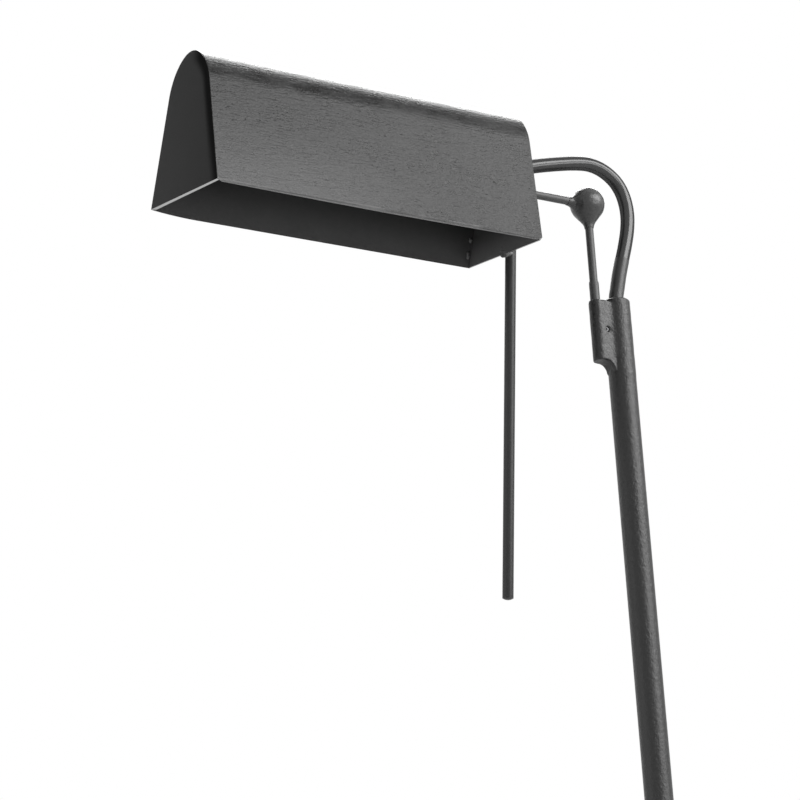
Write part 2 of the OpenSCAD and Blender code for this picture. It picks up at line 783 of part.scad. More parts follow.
// Bracket of bent strip that carries the lampholder
module strip_outline() {
    high1 = bracket_drop + arm_washer_d / 2 + strip_margin;
    high2 = bracket_drop + gland_rise + nipple_nut_af / 2 + strip_margin;
    outer_r = bend_r + strip_t;
    translate([0, outer_r]) square([strip_t, high1 - outer_r]);
    translate([bracket_len - strip_t, outer_r]) square([strip_t, high2 - outer_r]);
    translate([outer_r, 0]) square([bracket_len - 2 * outer_r, strip_t]);
    for (side = [0, 1]) translate([side * bracket_len, 0]) mirror([side, 0]) intersection() {
        square(outer_r);
        translate([outer_r, outer_r]) difference() {
            circle(outer_r);
            circle(bend_r);
        }
    }
}

module holder_bracket() {
    color(steel) at_shade() difference() {
        translate([-sheet_t, strip_w / 2, -bracket_drop]) mirror([1, 0, 0]) rotate([90, 0, 0])
            linear_extrude(strip_w) strip_outline();
        inward(0) cylinder(d = rod_d + 2 * fit, h = sheet_t + strip_t + cut);
        translate([0, 0, gland_rise]) inward(leg2_at - cut)
            cylinder(d = nipple_d + 2 * fit, h = strip_t + 2 * cut);
    }
}

module holder_nipple() {
    color(brass) on_holder() inward(nipple_from) ring(nipple_d, nipple_bore_d, nipple_len);
}

module nipple_nuts() {
    color(brass) on_holder() for (at = [leg2_at - nipple_nut_h, leg2_at + strip_t])
        inward(at) hex_nut(nipple_nut_af, nipple_d + 2 * fit, nipple_nut_h);
}

// Lampholder
module holder_cap() {
    r = holder_d / 2;
    hub_r = nipple_d / 2 + cap_hub_wall;
    color(phenolic) on_holder() inward(cap_at) difference() {
        rotate_extrude() {
            intersection() {
                translate([0, r]) difference() {
                    circle(r);
                    circle(r - holder_wall);
                }
                square([r, r]);
            }
            square([hub_r, nipple_grip]);
        }
        translate([0, 0, -cut]) cylinder(d = nipple_d + 2 * fit, h = holder_d);
    }
}

module holder_shell() {
    color(phenolic) difference() {
        on_holder() inward(shell_at) {
            ring(holder_d, holder_d - 2 * holder_wall, holder_len);
            rotate_extrude() translate([holder_d / 2 - holder_wall / 2, holder_len]) circle(bead_d / 2);
        }
        at_key() cylinder(d = key_bush_d - 2 * (key_shoulder - fit), h = holder_d);
    }
}

module holder_core() {
    color(porcelain) on_holder() inward(core_at)
        ring(holder_d - 2 * (holder_wall + fit), rivet_d + 2 * fit, core_t);
}

module centre_contact() {
    color(brass) on_holder() {
        inward(core_face) cylinder(d = contact_d, h = contact_t);
        inward(core_at) cylinder(d = rivet_d, h = core_t + contact_t);
    }
}

module screw_shell() {
    color(brass) on_holder() inward(core_face)
        ring(screw_shell_d + 2 * screw_shell_wall, screw_shell_d, screw_shell_len);
}

// Turn switch on the lampholder
module switch_bush() {
    seat = holder_d / 2;
    color(brass) at_key() difference() {
        union() {
            translate([0, 0, seat - holder_wall - key_bush_in + fit])
                cylinder(d = key_bush_d - 2 * key_shoulder, h = holder_wall + key_bush_in + cut);
            translate([0, 0, seat]) cylinder(d = key_bush_d, h = key_bush_len);
        }
        translate([0, 0, seat - 2 * holder_wall - key_bush_in])
            cylinder(d = key_stem_d + 2 * fit, h = key_bush_len + holder_d);
    }
}

module switch_key() {
    bottom = holder_d / 2 - holder_wall - key_bush_in + fit;
    wing = holder_d / 2 + key_bush_len + free;
    color(phenolic) at_key() {
        translate([0, 0, bottom]) cylinder(d = key_stem_d, h = wing + key_len / 2 - bottom);
        translate([0, key_t / 2, wing]) rotate([90, 0, 0]) linear_extrude(key_t) {
            translate([-key_w / 2 + key_corner, 0]) square([key_w - 2 * key_corner, key_len]);
            translate([-key_w / 2, key_corner]) square([key_w, key_len - 2 * key_corner]);
            for (x = [-1, 1], z = [key_corner, key_len - key_corner])
                translate([x * (key_w / 2 - key_corner), z]) circle(key_corner);
        }
    }
}

// Tubular lamp in the holder
module lamp_cap() {
    r = cap_d / 2;
    rise = contact_t + cap_cone;
    color(brass) on_holder() inward(lamp_tip) rotate_extrude() polygon([[0, 0], [contact_d / 2, 0],
        [contact_d / 2, contact_t], [r - cap_wall, rise], [r, rise], [r, cap_top - lamp_tip],
        [r - cap_wall, cap_top - lamp_tip], [r - cap_wall, rise + cap_wall], [0, rise + cap_wall]]);
}

module lamp_glass() {
    r = lamp_d / 2;
    neck_r_out = cap_d / 2 - cap_wall - free;
    neck_from = cap_top - glass_seat;
    neck_len = mouth_at + r - neck_from;
    color(milk_glass) on_holder() inward(neck_from) rotate_extrude() difference() {
        union() {
            square([neck_r_out, neck_len]);
            translate([0, neck_len]) half_disc(r);
            translate([0, neck_len]) square([r, lamp_end - r - neck_from - neck_len]);
            translate([0, lamp_end - r - neck_from]) half_disc(r);
        }
        translate([-cut, -cut]) square([neck_r_out - glass_t + cut, neck_len + cut]);
        translate([0, neck_len]) circle(r - glass_t);
        translate([-cut, neck_len]) square([r - glass_t + cut, lamp_end - r - neck_from - neck_len]);
        translate([0, lamp_end - r - neck_from]) circle(r - glass_t);
    }
}

// Two insulated leads from the cable's end through the nipple to the core
module lead_wires() {
    side = lead_d / 2 + free;
    straight = 2 * lead_d;
    slack = [(cable_end + nipple_from) / 2, side + lead_d, -2 * lead_d];
    color(rubber) on_holder() for (s = [-1, 1])
        tube(smooth_path([[-cable_end, s * side, 0], [-cable_end - lead_d, s * side, 0],
            [-cable_end - straight, s * side, 0],
            [-slack.x, s * slack.y, slack.z], [straight - nipple_from, s * side, 0],
            [-nipple_from - straight, s * side, 0], [-core_at, s * side, 0]], lead_steps),
            lead_d / 2, lead_sides);
}

base_plate();
base_pad();
foot_stem();
base_washer();
base_nut();
lead_inlet_bush();
pole_tube();
pole_collar();
cable_bush();
rod_socket();
retaining_screw();
thrust_disc();
swivel_spigot();
upright_rod();
ball_knuckle();
friction_slug();
friction_grub();
arm_rod();
arm_washers();
arm_nuts();
shade_shell();
end_plate_far();
end_plate_near();
pull_leg();
pull_rod();
cable_gland();
gland_nut();
flex_cable();
cable_sleeve();
holder_bracket();
holder_nipple();
nipple_nuts();
holder_cap();
holder_shell();
holder_core();
centre_contact();
screw_shell();
switch_bush();
switch_key();
lamp_cap();
lamp_glass();
lead_wires();
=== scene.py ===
import json
import math

import bmesh
import bpy
from mathutils import Matrix, Vector, noise


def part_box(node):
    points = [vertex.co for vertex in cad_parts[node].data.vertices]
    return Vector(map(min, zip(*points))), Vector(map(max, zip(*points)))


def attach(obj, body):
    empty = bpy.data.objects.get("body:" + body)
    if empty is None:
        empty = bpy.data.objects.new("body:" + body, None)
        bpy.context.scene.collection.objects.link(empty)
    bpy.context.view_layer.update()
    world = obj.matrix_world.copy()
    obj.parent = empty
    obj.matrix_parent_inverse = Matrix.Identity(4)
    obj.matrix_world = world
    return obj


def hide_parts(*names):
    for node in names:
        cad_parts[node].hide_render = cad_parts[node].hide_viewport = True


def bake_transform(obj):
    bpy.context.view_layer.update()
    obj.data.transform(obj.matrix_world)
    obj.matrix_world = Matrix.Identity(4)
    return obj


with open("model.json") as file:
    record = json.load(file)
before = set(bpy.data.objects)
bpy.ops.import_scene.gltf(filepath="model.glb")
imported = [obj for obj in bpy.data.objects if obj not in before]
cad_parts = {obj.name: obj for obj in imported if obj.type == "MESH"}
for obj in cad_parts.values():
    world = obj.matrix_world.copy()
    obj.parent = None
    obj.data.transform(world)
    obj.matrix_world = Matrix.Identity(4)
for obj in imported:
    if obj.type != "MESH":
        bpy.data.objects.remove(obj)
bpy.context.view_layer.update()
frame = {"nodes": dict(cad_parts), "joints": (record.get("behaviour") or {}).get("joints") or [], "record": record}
nodes = frame["nodes"]
scene = bpy.context.scene
scene.view_settings.view_transform = "Standard"
joints = {joint["name"]: joint for joint in frame["joints"]}
swivelAt = Vector(joints["head_swivel"]["pos_m"])
tiltAt = Vector(joints["shade_tilt"]["pos_m"])
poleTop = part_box("pole_tube")[1].z
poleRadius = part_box("pole_tube")[1].x
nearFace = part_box("end_plate_near")[1].x
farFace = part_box("end_plate_far")[0].x

# The shade's own directions as it stands, and the middle of its open rim
shadeTilt = math.radians(10.2)
armHeight = 0.0615  # from the rim up to the arm's axis
shadeAcross = Vector((0, math.cos(shadeTilt), math.sin(shadeTilt)))
shadeUp = Vector((0, -math.sin(shadeTilt), math.cos(shadeTilt)))
rimAt = Vector((0, tiltAt.y, tiltAt.z)) - shadeUp * armHeight
merge = {"drawn": 0.00001, "turned": 0.000001, "cad": 0.000002}  # points closer than this become one


def clamp(value):
    return max(0.0, min(1.0, value))


# Falls from 1 at nothing to 0 at its reach
def fade(value, reach):
    return max(0.0, 1 - value / reach)


# Camera at the photograph's angle, below the shade and to its left
photoView = {
    "place": (-1.4280, -1.9349, 0.2817),  # metres
    "turn": 31.609,  # degrees to the right of +Y
    "rise": 19.570,  # degrees above the horizon
    "roll": -3.345,
    "lens": 126.68,  # millimetres, as the sensor
    "sensor": 36,
}


def addCamera():
    eye = bpy.data.cameras.new("photoCamera")
    eye.sensor_width = photoView["sensor"]
    eye.lens = photoView["lens"]
    camera = bpy.data.objects.new("photoCamera", eye)
    turn = Matrix.Rotation(math.radians(-photoView["turn"]), 4, "Z")
    rise = Matrix.Rotation(math.radians(90 + photoView["rise"]), 4, "X")
    roll = Matrix.Rotation(math.radians(photoView["roll"]), 4, "Z")
    camera.matrix_world = Matrix.Translation(photoView["place"]) @ turn @ rise @ roll
    scene.collection.objects.link(camera)
    scene.camera = camera


addCamera()
print("camera placed")


# Shader maths: a wire is a node's output that Python can calculate with
class Wire:
    def __init__(self, graph, socket):
        self.graph = graph
        self.socket = socket

    def calc(self, operation, first, second):
        return self.graph.node("Math", {"operation": operation}, {0: first, 1: second})

    def __add__(self, other):
        return self.calc("ADD", self, other)

    def __radd__(self, other):
        return self.calc("ADD", other, self)

    def __sub__(self, other):
        return self.calc("SUBTRACT", self, other)

    def __rsub__(self, other):
        return self.calc("SUBTRACT", other, self)

    def __mul__(self, other):
        return self.calc("MULTIPLY", self, other)

    def __rmul__(self, other):
        return self.calc("MULTIPLY", other, self)


class Graph:
    def __init__(self, tree):
        self.tree = tree
        tree.nodes.clear()

    def node(self, kind, settings=None, sockets=None, output=0):
        made = self.tree.nodes.new("ShaderNode" + kind)
        for name, value in (settings or {}).items():
            setattr(made, name, value)
        for name, value in (sockets or {}).items():
            if isinstance(value, Wire):
                self.tree.links.new(value.socket, made.inputs[name])
            else:
                made.inputs[name].default_value = value
        return Wire(self, made.outputs[output] if len(made.outputs) else None)

    def mix(self, factor, first, second):
        sockets = {0: factor, 6: first, 7: second}  # a Mix node's colours are its sockets 6 and 7
        return self.node("Mix", {"data_type": "RGBA"}, sockets, 2)

    def rampUp(self, value, low, high):
        settings = {"interpolation_type": "SMOOTHSTEP"}
        return self.node("MapRange", settings, {"Value": value, "From Min": low, "From Max": high})


class Finish(Graph):
    def __init__(self, name):
        self.material = bpy.data.materials.new(name)
        self.material.use_nodes = True
        super().__init__(self.material.node_tree)
        self.place = self.node("TexCoord", output="Object")

    # The shift keeps the patterns of one finish apart
    def spots(self, size, stretch=(1, 1, 1), detail=3, shift=0.0):
        scale = [axis / size for axis in stretch]
        sockets = {"Vector": self.place, "Scale": scale, "Location": (shift, shift, shift)}
        where = self.node("Mapping", None, sockets)
        return self.node("TexNoise", None, {"Vector": where, "Scale": 1, "Detail": detail}, "Fac")

    def along(self, direction, start):
        settings = {"operation": "DOT_PRODUCT"}
        reach = self.node("VectorMath", settings, {0: self.place, 1: direction}, "Value")
        return reach - direction.dot(start)

    def band(self, value, middle, wide):
        return 1 - self.rampUp(self.node("Math", {"operation": "ABSOLUTE"}, {0: value - middle}), 0, wide)

    def bump(self, height, depth):
        return self.node("Bump", None, {"Height": height, "Distance": depth, "Strength": 1})

    def skin(self, colour, roughness, normal, gloss, metal=0.0, edge=1.0):
        sockets = {"Base Color": colour, "Roughness": roughness, "Normal": normal}
        sockets.update({"Specular IOR Level": gloss, "Metallic": metal, "Specular Tint": grey(edge)})
        return self.node("BsdfPrincipled", None, sockets)

    def close(self, shader):
        self.node("OutputMaterial", None, {"Surface": shader})
        return self.material


def grey(level):
    return (level, level, level, 1)


# Finishes of blackened iron
def shadeIron(look):
    finish = Finish("shadeIron")
    streaks = finish.spots(look["streak"], (look["streakLong"], 1, 1))
    grain = finish.spots(look["grain"], (look["grainLong"], 1, 1), detail=2, shift=3.1)
    cloud = finish.spots(look["cloud"], (look["grainLong"], 1, 1), shift=7.7)
    nicks = finish.spots(look["nick"], (look["nickLong"], 1, 1), detail=2, shift=9.4)
    nicks = finish.rampUp(nicks, *look["nickRare"])
    broken = finish.spots(look["break"], (look["breakLong"], 1, 1), shift=2.6)
    broken = finish.rampUp(broken, *look["breakRare"])
    height = finish.along(shadeUp, rimAt)
    # A pale broken line along the rim: worn metal, and a painted highlight of a bend that the sheet does not have
    wornAndGlint = finish.band(height, look["wornGlintAt"], look["lineWide"]) * broken
    # Painted shade: a thin dark line just above the rim, where a rounded edge would turn dark
    paintedShadeLine = finish.band(height, look["shadeLineAt"], look["lineWide"]) * (1 - broken) * look["shadeLineStrength"]
    # Painted light: the sheet paler towards the far end and near the rim, where more light falls on it
    paintedLight = finish.rampUp(finish.along(Vector((-1, 0, 0)), Vector()), *look["paintedLightFrom"])
    lower = 1 - finish.rampUp(height, 0, look["paintedLightTop"])
    paintedLight = paintedLight * lower * lower * look["paintedLight"]
    tone = (streaks - 0.5) * look["contrast"] + (grain - 0.5) * look["fine"]
    tone = tone + (cloud - 0.5) * look["clouding"] + 0.5
    colour = finish.mix(tone, grey(look["dark"]), grey(look["light"]))
    colour = finish.mix(nicks, colour, grey(look["nickTone"]))
    colour = finish.mix(paintedLight, colour, grey(look["paintedLightTone"]))
    colour = finish.mix(wornAndGlint, colour, grey(look["wornGlintTone"]))
    colour = finish.mix(paintedShadeLine, colour, grey(0))
    roughness = look["rough"] + (streaks + cloud - 1) * look["roughVary"] + paintedShadeLine * look["shadeLineRough"]
    normal = finish.bump(streaks + (grain - nicks) * look["fineDepth"], look["depth"])
    return finish.close(finish.skin(colour, roughness, normal, look["gloss"]))


def plateIron(look):
    finish = Finish("plateIron")
    cloud = finish.spots(look["cloud"], shift=7.7)
    grain = finish.spots(look["grain"])
    # Painted shade: a dark border along each plate's front edge, read from the edge layer
    edge = finish.node("Attribute", {"attribute_name": "edge"}, None, "Fac")
    across = finish.along(shadeAcross, rimAt)
    paintedShade = finish.rampUp(edge, *look["paintedShadeEdge"]) * (1 - finish.rampUp(across, *look["paintedShadeUpTo"]))
    tone = (cloud - 0.5) * look["clouding"] + (grain - 0.5) * look["contrast"] + 0.5
    # Painted shade: each plate darker towards its front
    tone = tone + across * look["fades"]
    colour = finish.mix(tone, grey(look["dark"]), grey(look["light"]))
    normal = finish.bump(grain, look["depth"])
    clean = finish.skin(colour, look["rough"], normal, look["gloss"])
    shadedSkin = finish.skin(grey(look["paintedShadeTone"]), look["paintedShadeRough"], normal, 0.0)
    return finish.close(finish.node("MixShader", None, {0: paintedShade * look["paintedShade"], 1: clean, 2: shadedSkin}))


forgedGrain = 0.4  # depth of a forging's grain beside that of its lumps


def forgedIron(name, look):
    finish = Finish(name)
    stretch = (1, 1, look["long"])
    lumps = finish.spots(look["lump"], stretch)
    grain = finish.spots(look["grain"], stretch, detail=4, shift=5.3)
    tone = (lumps - 0.5) * look["contrast"] + (grain - 0.5) * look["fine"] + 0.5
    colour = finish.mix(tone, grey(look["dark"]), grey(look["light"]))
    # Painted shade: darker the higher it lies inside the shade, away from the open rim
    if "deep" in look:
        paintedDeepShade = finish.rampUp(finish.along(shadeUp, rimAt), 0, look["deep"])
        colour = finish.mix(paintedDeepShade, colour, grey(look["deepTone"]))
    roughness = look["rough"] + (grain + lumps - 1) * look["roughVary"]
    normal = finish.bump(lumps + grain * forgedGrain, look["depth"])
    return finish.close(finish.skin(colour, roughness, normal, look["gloss"]))


# Plainer finishes: two colours mottled together, with a fine grain
mottle = {"patchRough": 0.16, "grainRough": 0.1, "patchDepth": 0.5}


def mottled(name, look):
    finish = Finish(name)
    patches = finish.spots(look["patch"], detail=4)
    grain = finish.spots(look["grain"], shift=4.2)
    tone = (patches + grain - 1) * look["contrast"] + 0.5
    colour = finish.mix(tone, (*look["dark"], 1), (*look["light"], 1))
    vary = (patches - 0.5) * mottle["patchRough"] + (grain - 0.5) * mottle["grainRough"]
    roughness = look["rough"] + vary * look.get("uneven", 1.0)
    normal = finish.bump(grain + patches * mottle["patchDepth"], look["depth"])
    gloss, metal, edge = look.get("gloss", 0.5), look.get("metal", 0.0), look.get("edge", 1.0)
    return finish.close(finish.skin(colour, roughness, normal, gloss, metal, edge))


finishes = {
    "shade_iron": shadeIron({
        "streak": 0.0019, "streakLong": 0.18, "grain": 0.0012, "grainLong": 0.6, "cloud": 0.018,
        "contrast": 1.6, "fine": 1.8, "clouding": 2.2, "dark": 0.0, "light": 0.03,
        "rough": 0.31, "roughVary": 0.24, "depth": 0.00035, "fineDepth": 0.6, "gloss": 0.175,
        "nick": 0.0022, "nickLong": 0.35, "nickRare": (0.69, 0.78), "nickTone": 0.003,
        "break": 0.012, "breakLong": 0.3, "breakRare": (0.4, 0.56),  # in the two lines along the rim
        # the pale line along the rim is wear and painted highlight
        "wornGlintAt": 0.0036, "wornGlintTone": 0.1, "lineWide": 0.0007,
        # a thin dark line of painted shade just above the rim
        "shadeLineAt": 0.0022, "shadeLineStrength": 0.6, "shadeLineRough": 0.4,
        # painted light, paler low down and towards the far end
        "paintedLightFrom": (0.18, 0.37), "paintedLightTop": 0.11, "paintedLight": 0.22, "paintedLightTone": 0.2,
    }),
    "plate_iron": plateIron({
        "cloud": 0.06, "grain": 0.0016, "clouding": 0.3, "contrast": 0.4, "dark": 0.022, "light": 0.048,
        # fades darkens each plate towards its front: painted shade
        "rough": 0.72, "depth": 0.00003, "gloss": 0.13, "fades": 8.0, "paintedShade": 0.88, "paintedShadeTone": 0.009,
        # a dark border of painted shade along each plate's front edge
        "paintedShadeEdge": (0.1, 0.9), "paintedShadeUpTo": (-0.02, 0.0), "paintedShadeRough": 0.9,
    }),
    "inside": forgedIron("insideIron", {
        "lump": 0.03, "grain": 0.003, "long": 1.0, "contrast": 0.5, "fine": 0.4,
        "dark": 0.04, "light": 0.075, "rough": 0.62, "roughVary": 0.1, "depth": 0.00004, "gloss": 0.25,
        "deep": 0.04, "deepTone": 0.012,
    }),
    # Painted light: a lighter copy of the inside finish for the end plates' inner faces
    "plate_inside": forgedIron("plateInsidePaintedLight", {
        "lump": 0.03, "grain": 0.003, "long": 1.0, "contrast": 0.5, "fine": 0.4,
        "dark": 0.09, "light": 0.14, "rough": 0.62, "roughVary": 0.1, "depth": 0.00004, "gloss": 0.25,
        "deep": 0.03, "deepTone": 0.04,
    }),
    "forged_iron": forgedIron("forgedIron", {
        "lump": 0.005, "grain": 0.0016, "long": 0.8, "contrast": 0.8, "fine": 1.0,
        "dark": 0.01, "light": 0.04, "rough": 0.38, "roughVary": 0.2, "depth": 0.0004, "gloss": 0.42,
    }),
    "ball_iron": forgedIron("ballIron", {
        "lump": 0.008, "grain": 0.0016, "long": 1.0, "contrast": 0.6, "fine": 0.6,
        "dark": 0.025, "light": 0.06, "rough": 0.33, "roughVary": 0.2, "depth": 0.00012, "gloss": 0.42,
    }),
    "pole_iron": forgedIron("poleIron", {
        "lump": 0.0026, "grain": 0.0013, "long": 0.7, "contrast": 0.6, "fine": 1.0,
        "dark": 0.0, "light": 0.016, "rough": 0.4, "roughVary": 0.18, "depth": 0.0005, "gloss": 0.42,
    }),
    "rod_iron": forgedIron("rodIron", {
        "lump": 0.006, "grain": 0.0015, "long": 0.3, "contrast": 0.5, "fine": 0.8,
        "dark": 0.04, "light": 0.075, "rough": 0.42, "roughVary": 0.15, "depth": 0.00008, "gloss": 0.34,
    }),
    # Painted shade: a darker copy of the rod iron for the pull rod
    "pull_iron": forgedIron("pullIronPaintedShade", {
        "lump": 0.006, "grain": 0.0015, "long": 0.3, "contrast": 0.5, "fine": 0.8,
        "dark": 0.016, "light": 0.024, "rough": 0.36, "roughVary": 0.15, "depth": 0.00006, "gloss": 0.32,
    }),
    # Painted light: paler than the other iron, for welds that lie in shade
    "weld_iron": forgedIron("weldIronPaintedLight", {
        "lump": 0.003, "grain": 0.001, "long": 1.0, "contrast": 0.7, "fine": 0.9,
        "dark": 0.06, "light": 0.16, "rough": 0.4, "roughVary": 0.2, "depth": 0.0002, "gloss": 0.5,
    }),
    "foot_iron": forgedIron("footIron", {
        "lump": 0.02, "grain": 0.0016, "long": 1.0, "contrast": 0.7, "fine": 0.9,
        "dark": 0.015, "light": 0.04, "rough": 0.45, "roughVary": 0.16, "depth": 0.0002, "gloss": 0.34,
    }),
}
plainLooks = {
    "rim_iron": {"dark": (0.1, 0.1, 0.1), "light": (0.22, 0.22, 0.22), "patch": 0.006, "grain": 0.001,
                 "contrast": 0.8, "rough": 0.4, "depth": 0.00003},
    # The end plates' lower edges: worn bare metal, made bright as a painted highlight of the edge catching light
    "worn_edge_and_glint": {"dark": (0.28, 0.28, 0.28), "light": (0.52, 0.52, 0.52), "patch": 0.006, "grain": 0.001,
                  "contrast": 0.8, "rough": 0.36, "metal": 1.0, "depth": 0.00003},
    "dark_steel": {"dark": (0.05, 0.05, 0.052), "light": (0.12, 0.12, 0.125), "patch": 0.004,
                   "grain": 0.0008, "contrast": 0.7, "rough": 0.4, "metal": 0.7, "depth": 0.00004},
    "zinc_steel": {"dark": (0.36, 0.37, 0.38), "light": (0.56, 0.57, 0.58), "patch": 0.006, "grain": 0.0012,
                   "contrast": 0.8, "rough": 0.36, "metal": 1.0, "depth": 0.00003},
    "brass": {"dark": (0.5, 0.34, 0.13), "light": (0.74, 0.55, 0.26), "patch": 0.006, "grain": 0.001,
              "contrast": 0.6, "rough": 0.3, "metal": 1.0, "depth": 0.00003},
    "black_rubber": {"dark": (0.018, 0.018, 0.018), "light": (0.04, 0.04, 0.04), "patch": 0.004,
                     "grain": 0.0007, "contrast": 0.6, "rough": 0.6, "depth": 0.00004, "gloss": 0.35},
    "cable_jacket": {"dark": (0.061, 0.061, 0.061), "light": (0.07, 0.07, 0.07), "patch": 0.01,
                     "grain": 0.001, "contrast": 0.5, "rough": 0.15, "uneven": 0.2, "depth": 0.000002,
                     "gloss": 0.0, "metal": 0.54, "edge": 0.47},
    "sleeve_rubber": {"dark": (0.004, 0.004, 0.004), "light": (0.03, 0.03, 0.03), "patch": 0.0035,
                      "grain": 0.0012, "contrast": 0.9, "rough": 0.4, "depth": 0.00012, "gloss": 0.42},
    "lead_sheath": {"dark": (0.5, 0.46, 0.4), "light": (0.68, 0.64, 0.56), "patch": 0.005, "grain": 0.0008,
                    "contrast": 0.5, "rough": 0.5, "depth": 0.00002},
    "black_phenolic": {"dark": (0.012, 0.01, 0.009), "light": (0.03, 0.026, 0.023), "patch": 0.008,
                       "grain": 0.001, "contrast": 0.8, "rough": 0.28, "depth": 0.00001},
    "porcelain": {"dark": (0.72, 0.69, 0.62), "light": (0.86, 0.84, 0.79), "patch": 0.007, "grain": 0.0008,
                  "contrast": 0.6, "rough": 0.25, "depth": 0.00001},
    "nylon": {"dark": (0.66, 0.63, 0.55), "light": (0.78, 0.76, 0.69), "patch": 0.004, "grain": 0.0008,
              "contrast": 0.5, "rough": 0.5, "depth": 0.00002},
    "felt": {"dark": (0.02, 0.02, 0.02), "light": (0.075, 0.075, 0.075), "patch": 0.003, "grain": 0.0005,
             "contrast": 1.0, "rough": 0.92, "depth": 0.0004, "gloss": 0.15},
    "milk_glass": {"dark": (0.8, 0.79, 0.75), "light": (0.88, 0.87, 0.84), "patch": 0.03, "grain": 0.004,
                   "contrast": 0.5, "rough": 0.16, "depth": 0.000005},
}
for slotName, slotLook in plainLooks.items():
    finishes[slotName] = mottled(slotName.title().replace("_", ""), slotLook)
print("finishes:", len(finishes))


# Every solid that shows as it is takes the finish of its slot
slotOf = {part["node"]: part["material_slot"] for part in frame["record"]["subparts"]}
slotOf["pull_rod"] = "pull_iron"  # a darker copy of the rod iron: painted shade
for nodeName, node in nodes.items():
    node.data.materials.clear()
    node.data.materials.append(finishes[slotOf[nodeName]])


def storeMesh(name, mesh):
    data = bpy.data.meshes.new(name)
    mesh.to_mesh(data)
    mesh.free()
    return data


def makePiece(name, mesh, finishNames, smoothUnder=35):
    if len(finishNames) == 1:
        for face in mesh.faces:
            face.material_index = 0
    data = storeMesh(name, mesh)
    for finishName in finishNames:
        data.materials.append(finishes[finishName])
    data.polygons.foreach_set("use_smooth", [True] * len(data.polygons))
    data.set_sharp_from_angle(angle=math.radians(smoothUnder))
    piece = bpy.data.objects.new(name, data)
    scene.collection.objects.link(piece)
    return piece


def bakeModifiers(piece):
    graph = bpy.context.evaluated_depsgraph_get()
    data = bpy.data.meshes.new_from_object(piece.evaluated_get(graph))
    old = piece.data
    piece.modifiers.clear()
    piece.data = data
    bpy.data.meshes.remove(old)


# Flexible cable: out of the pole's top, over the ball and down to the end plate
cable = {
    "thick": 0.0132,
    "sleeveWall": 0.0002,
    "sleeveEnds": (2, 15),  # smoothed points of the route that the sleeve covers
    "steps": 3,
    "finer": 4,
    "round": 6,  # resolution of every tube, the leads' too
    "crown": 13,  # point of the rise at the top of the arch, where the cable is split into two tubes
    "bendFrom": 0.008,  # above the pole's top
    "bendTo": 0.012,  # below the crown
    "stillAt": 0.009,  # before the end plate
    "glandRise": 0.021,
    "intoPlate": (-0.013, -0.009, -0.002, 0.0095),
}
cableRise = [
    (0, 0, -0.016), (0, 0, -0.006), (0.0006, 0, 0.004), (0.003, 0, 0.014), (0.0065, 0, 0.028),
    (0.011, 0, 0.043), (0.016, 0, 0.059), (0.020, 0, 0.075), (0.0216, 0, 0.089), (0.0205, 0, 0.102),
    (0.0165, 0, 0.114), (0.0088, 0, 0.124), (-0.0035, 0, 0.1314), (-0.018, 0, 0.1343),
    (-0.034, -0.0002, 0.1325), (-0.050, -0.0007, 0.1289), (-0.066, -0.0015, 0.1246),
    (-0.082, -0.0024, 0.1198),
]


# A smooth line through every point
def smoothLine(points, steps):
    line = []
    last = len(points) - 1
    for i in range(last):
        a, b, c, d = (points[max(0, min(last, i + k))] for k in (-1, 0, 1, 2))
        for k in range(steps):
            t = k / steps
            bend = (2 * a - 5 * b + 4 * c - d) * t * t + (3 * b - a - 3 * c + d) * t ** 3
            line.append(0.5 * (2 * b + (c - a) * t + bend))
    return line + [points[last]]


def tubeAlong(name, line, thick, finishName):
    curve = bpy.data.curves.new(name + "Line", "CURVE")
    curve.dimensions = "3D"
    curve.bevel_depth = thick / 2
    curve.bevel_resolution = cable["round"]
    curve.use_fill_caps = True
    spline = curve.splines.new("POLY")
    spline.points.add(len(line) - 1)
    for point, place in zip(spline.points, line):
        point.co = (*place, 1)
    guide = bpy.data.objects.new(name + "Line", curve)
    scene.collection.objects.link(guide)
    graph = bpy.context.evaluated_depsgraph_get()
    mesh = bmesh.new()
    mesh.from_mesh(bpy.data.meshes.new_from_object(guide.evaluated_get(graph)))
    bpy.data.objects.remove(guide)
    bmesh.ops.remove_doubles(mesh, verts=mesh.verts, dist=merge["drawn"])
    bmesh.ops.recalc_face_normals(mesh, faces=mesh.faces)
    return makePiece(name, mesh, [finishName], smoothUnder=50)


def lengthOf(line):
    return sum((b - a).length for a, b in zip(line, line[1:]))


def addCable():
    knots = [Vector(p) + Vector((0, 0, poleTop)) for p in cableRise]
    for inward in cable["intoPlate"]:
        knots.append(Vector((nearFace - inward, 0, tiltAt.z)) + shadeUp * cable["glandRise"])
    route = smoothLine(knots, cable["steps"])
    fine = smoothLine(route, cable["finer"])
    split = cable["crown"] * cable["steps"] * cable["finer"]
    lowerLine, upperLine = fine[:split + 1], fine[split:]
    lower = tubeAlong("cableLower", lowerLine, cable["thick"], "cable_jacket")
    upper = tubeAlong("cableUpper", upperLine, cable["thick"], "cable_jacket")
    start, end = cable["sleeveEnds"]
    sleeveLine = fine[start * cable["finer"]:end * cable["finer"] + 1]
    sleeve = tubeAlong("cableSleeve", sleeveLine, cable["thick"] + 2 * cable["sleeveWall"], "sleeve_rubber")
    for piece in (lower, sleeve):
        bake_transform(piece)
    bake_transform(upper)
    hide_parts("flex_cable")
    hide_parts("cable_sleeve")
    for piece, line, goingWith in ((lower, lowerLine, [sleeve]), (upper, upperLine, [])):
        round(lengthOf(line), 3)


addCable()


